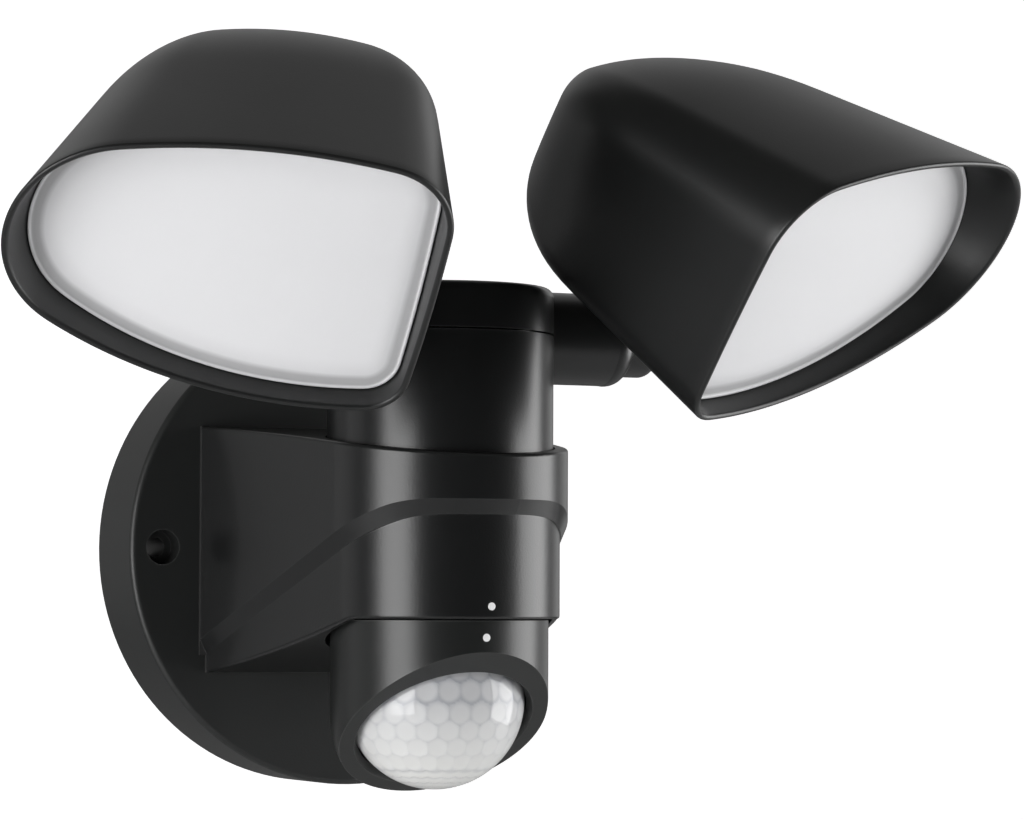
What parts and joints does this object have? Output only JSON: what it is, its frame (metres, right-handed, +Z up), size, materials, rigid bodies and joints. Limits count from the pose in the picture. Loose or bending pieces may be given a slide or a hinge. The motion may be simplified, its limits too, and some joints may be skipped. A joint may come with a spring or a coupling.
{
  "type": "motion sensor security light",
  "caption": "Wall-mounted outdoor security light: round wall box, moulded arm and column, hooded tilting lamp heads with opal diffusers, and a panning dome motion sensor below.",
  "frame": {"origin": "centre of the wall box's back face, on the wall", "axes": "+Y points into the wall, -Y towards the viewer, +X to the right seen from the front, +Z up"},
  "size_m": [0.2768, 0.18, 0.1905],
  "materials": {
    "housing": "satin moulded, fine texture",
    "bezel": "satin moulded",
    "rubber": "matt",
    "opal": "satin opal diffuser",
    "lens": "translucent white, faceted inside",
    "steel": "zinc plated",
    "inner_plastic": "moulded",
    "board_green": "solder mask",
    "board_white": "white solder mask",
    "chip": "phosphor coated chip",
    "aluminium": "as cast",
    "reflector_white": "gloss white",
    "dot_white": "matt",
    "component": "moulded components",
    "terminal": "moulded"
  },
  "bodies": {
    "root": {"back_plate": "inner_plastic", "wall_cover": "housing", "wall_gasket": "rubber", "cable_grommet": "rubber", "terminal_block": "terminal", "terminal_screws": "steel", "driver_board": "board_green", "driver_parts": "component", "driver_screws": "steel", "arm_gasket": "rubber", "arm_housing": "housing", "arm_screws": "steel", "body_index_dot": "dot_white", "column_tube": "housing", "column_screws": "steel", "column_cap": "housing", "cap_seal": "rubber", "cap_screws": "steel", "arm_barrel_left": "housing", "arm_barrel_right": "housing", "tilt_seal_left": "rubber", "tilt_seal_right": "rubber"},
    "sensor": {"sensor_housing": "bezel", "sensor_seal": "rubber", "sensor_lens": "lens", "lens_clamp": "inner_plastic", "sensor_board": "board_green", "pyro_sensor": "steel", "control_board": "board_green", "sensor_retainer": "inner_plastic", "retainer_screws": "steel", "sensor_index_dot": "dot_white"},
    "time_dial": {"time_dial": "inner_plastic"},
    "light_dial": {"light_dial": "inner_plastic"},
    "knuckle_left": {"tilt_knuckle_left": "housing", "tilt_nut_left": "steel", "tilt_washer_left": "steel", "swivel_nut_left": "steel"},
    "head_left": {"head_shell_left": "housing", "diffuser_left": "opal", "diffuser_seal_left": "rubber", "reflector_left": "reflector_white", "led_board_left": "board_white", "heat_plate_left": "aluminium", "board_screws_left": "steel", "led_chips_left": "chip"},
    "knuckle_right": {"tilt_knuckle_right": "housing", "tilt_nut_right": "steel", "tilt_washer_right": "steel", "swivel_nut_right": "steel"},
    "head_right": {"head_shell_right": "housing", "diffuser_right": "opal", "diffuser_seal_right": "rubber", "reflector_right": "reflector_white", "led_board_right": "board_white", "heat_plate_right": "aluminium", "board_screws_right": "steel", "led_chips_right": "chip"}
  },
  "joints": [
    {"name": "sensor_pan", "type": "hinge", "parent": "root", "child": "sensor", "pos_m": [0, -0.08025, -0.03], "axis": [0, 0, 1], "range_deg": [-90, 90]},
    {"name": "time_dial_turn", "type": "hinge", "parent": "sensor", "child": "time_dial", "pos_m": [-0.009, -0.05685, -0.034], "axis": [0, 1, 0], "range_deg": [-135, 135]},
    {"name": "light_dial_turn", "type": "hinge", "parent": "sensor", "child": "light_dial", "pos_m": [0.009, -0.05685, -0.034], "axis": [0, 1, 0], "range_deg": [-135, 135]},
    {"name": "tilt_left", "type": "hinge", "parent": "root", "child": "knuckle_left", "pos_m": [-0.056, -0.08025, 0.0544], "axis": [1, 0, 0], "range_deg": [-50, 30]},
    {"name": "swivel_left", "type": "hinge", "parent": "knuckle_left", "child": "head_left", "pos_m": [-0.056, -0.08025, 0.0544], "axis": [0, -0.8462, 0.5329], "range_deg": [-15, 45]},
    {"name": "tilt_right", "type": "hinge", "parent": "root", "child": "knuckle_right", "pos_m": [0.056, -0.08025, 0.0544], "axis": [1, 0, 0], "range_deg": [-50, 30]},
    {"name": "swivel_right", "type": "hinge", "parent": "knuckle_right", "child": "head_right", "pos_m": [0.056, -0.08025, 0.0544], "axis": [0, -0.8358, 0.549], "range_deg": [-45, 15]}
  ]
}
